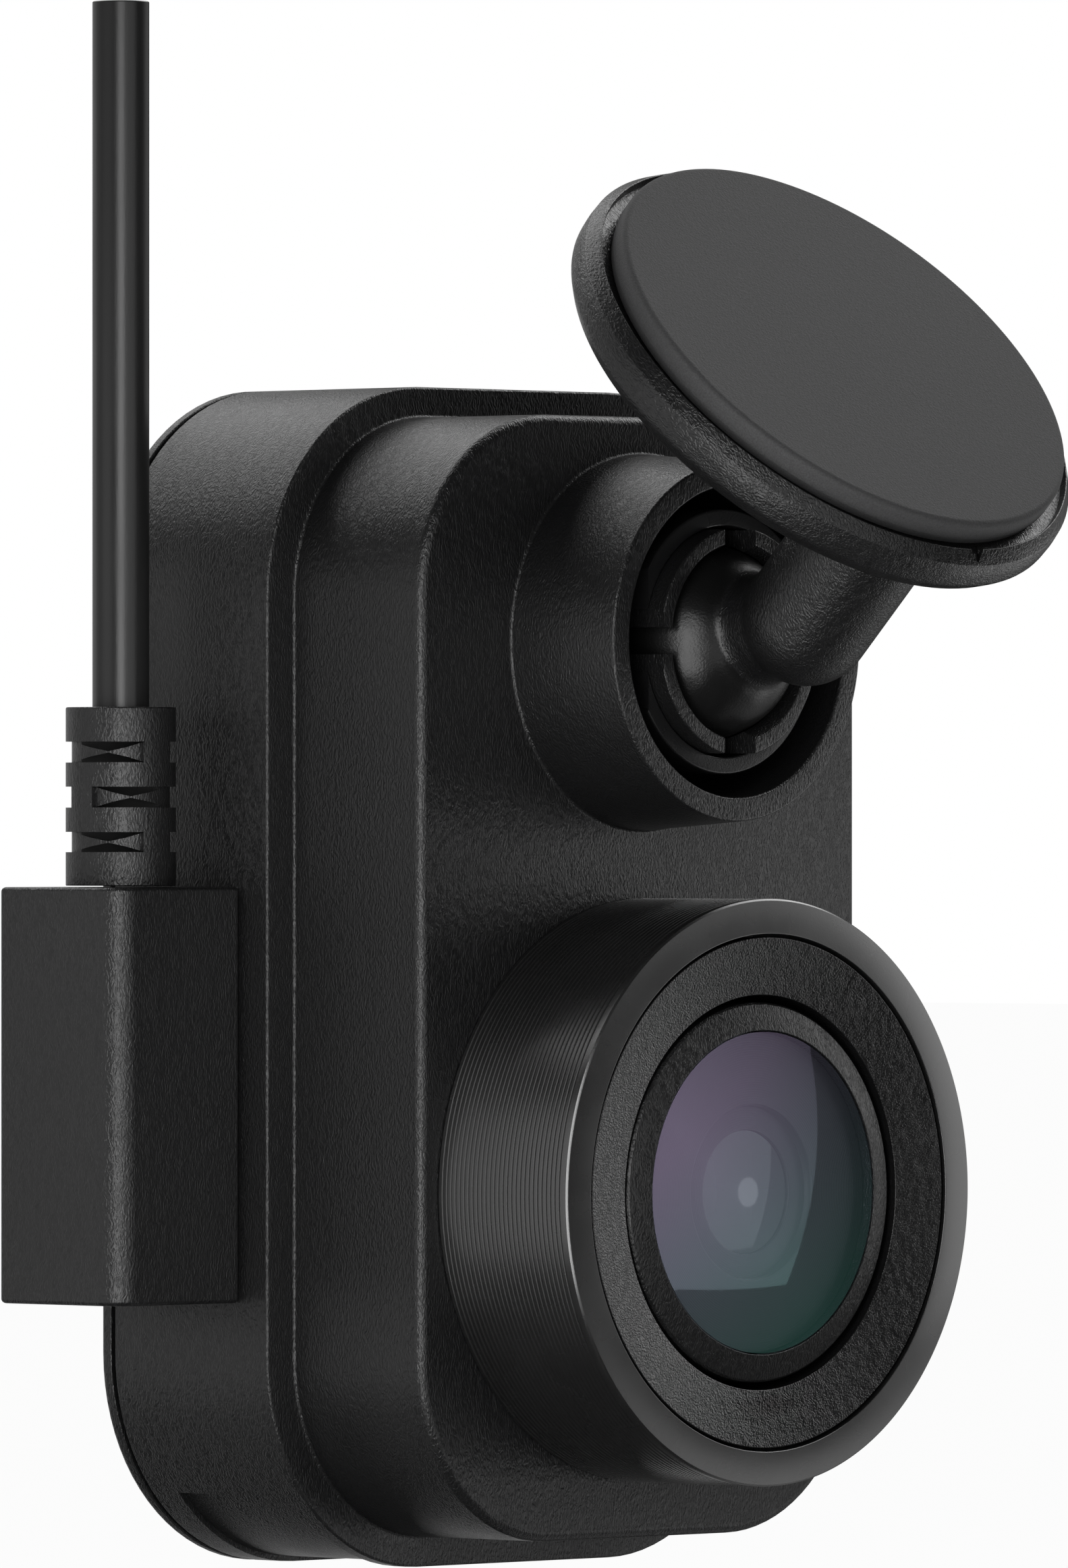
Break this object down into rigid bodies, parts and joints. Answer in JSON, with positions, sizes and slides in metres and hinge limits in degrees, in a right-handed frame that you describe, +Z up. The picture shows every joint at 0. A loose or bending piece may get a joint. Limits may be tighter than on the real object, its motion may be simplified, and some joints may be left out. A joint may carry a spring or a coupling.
{
  "type": "dash camera",
  "caption": "Small windscreen dash camera on an adhesive ball mount, with its right-angle power plug and cable.",
  "frame": {"origin": "centre of the adhesive pad's outer face, the face that sticks to the windscreen", "axes": "+Z up and along the body's height, the lens looks along -Y, +X is the camera's right side seen from in front; the pad faces forward and up at 45 degrees, as in the picture"},
  "size_m": [0.0394, 0.0416, 0.0698],
  "materials": {
    "pad_foam": "fine-grained matt charcoal foam",
    "grained_black": "black moulded plastic with a leather-like grain",
    "satin_black": "smooth satin black",
    "inner_plastic": "plain dead black, unseen from outside",
    "coated_glass": "clear glass with a violet to green anti-reflection coat",
    "clear_glass": "clear optical glass",
    "lens_metal": "black anodised",
    "chip_black": "moulded chip package",
    "circuit_board": "green solder mask",
    "steel": "plated steel",
    "soft_grey": "soft grey silicone",
    "clear_plastic": "clear moulded plastic",
    "copper": "bare copper",
    "card_plastic": "plain black card, unmarked",
    "cable_black": "smooth satin black jacket"
  },
  "bodies": {
    "mount": {"adhesive_pad": "pad_foam", "mount_disc": "grained_black", "mount_arm": "grained_black"},
    "friction_cup": {"ball_cup": "inner_plastic"},
    "thrust_parts": {"thrust_washer": "inner_plastic", "disc_spring": "steel"},
    "camera": {"front_housing": "grained_black", "rear_cover": "grained_black", "socket_ring": "grained_black", "socket_collet": "grained_black", "lens_ring": "satin_black", "lens_dish": "grained_black", "lens_bezel": "grained_black", "front_lens": "coated_glass", "lens_cell": "lens_metal", "lens_spacer": "inner_plastic", "second_lens": "clear_glass", "aperture_stop": "inner_plastic", "third_lens": "clear_glass", "rear_lens": "clear_glass", "lens_holder": "inner_plastic", "infrared_filter": "clear_glass", "image_sensor": "chip_black", "sensor_board": "circuit_board", "sensor_connector": "inner_plastic", "board_connector": "inner_plastic", "main_board": "circuit_board", "board_screw_1": "steel", "board_screw_2": "steel", "board_screw_3": "steel", "board_screw_4": "steel", "processor": "chip_black", "memory_chip": "chip_black", "power_inductor": "chip_black", "motion_sensor": "chip_black", "thermal_pad": "soft_grey", "shield_can": "steel", "backup_capacitor": "steel", "tact_switch": "inner_plastic", "recording_led": "clear_plastic", "wireless_led": "clear_plastic", "microphone_led": "clear_plastic", "recording_light_pipe": "clear_plastic", "wireless_light_pipe": "clear_plastic", "microphone_light_pipe": "clear_plastic", "microphone": "steel", "microphone_boot": "soft_grey", "wifi_antenna": "copper", "card_socket": "steel", "usb_socket": "steel"},
    "button": {"save_button": "satin_black"},
    "plunger": {"switch_plunger": "soft_grey"},
    "card": {"memory_card": "card_plastic"},
    "usb_plug": {"plug_body": "grained_black", "plug_shell": "steel", "strain_relief": "cable_black", "cable_jacket": "cable_black", "supply_wire": "copper", "return_wire": "copper"}
  },
  "joints": [
    {"name": "ball_tilt", "type": "hinge", "parent": "mount", "child": "friction_cup", "pos_m": [0, 0.00888, -0.0131], "axis": [1, 0, 0], "range_deg": [-30, 14]},
    {"name": "ball_pan", "type": "hinge", "parent": "friction_cup", "child": "thrust_parts", "pos_m": [0, 0.00888, -0.0131], "axis": [0, 0, 1], "range_deg": [-18, 18]},
    {"name": "ball_spin", "type": "hinge", "parent": "thrust_parts", "child": "camera", "pos_m": [0, 0.00888, -0.0131], "axis": [0, -1, 0], "range_deg": [-75, 75]},
    {"name": "save_button_press", "type": "slide", "parent": "camera", "child": "button", "axis": [0, -1, 0], "range_m": [0, 0.0003], "stiffness_N_per_m": 800, "springref_m": -0.0005},
    {"name": "switch_plunger_press", "type": "slide", "parent": "camera", "child": "plunger", "axis": [0, -1, 0], "range_m": [0, 0.0003]},
    {"name": "memory_card_draw", "type": "slide", "parent": "camera", "child": "card", "axis": [0, 0, -1], "range_m": [-0.0006, 0.016]},
    {"name": "usb_plug_pull", "type": "slide", "parent": "camera", "child": "usb_plug", "axis": [-1, 0, 0], "range_m": [0, 0.008]}
  ],
  "couplings": [
    {"joint": "switch_plunger_press", "follows": "save_button_press", "ratio": 1}
  ]
}
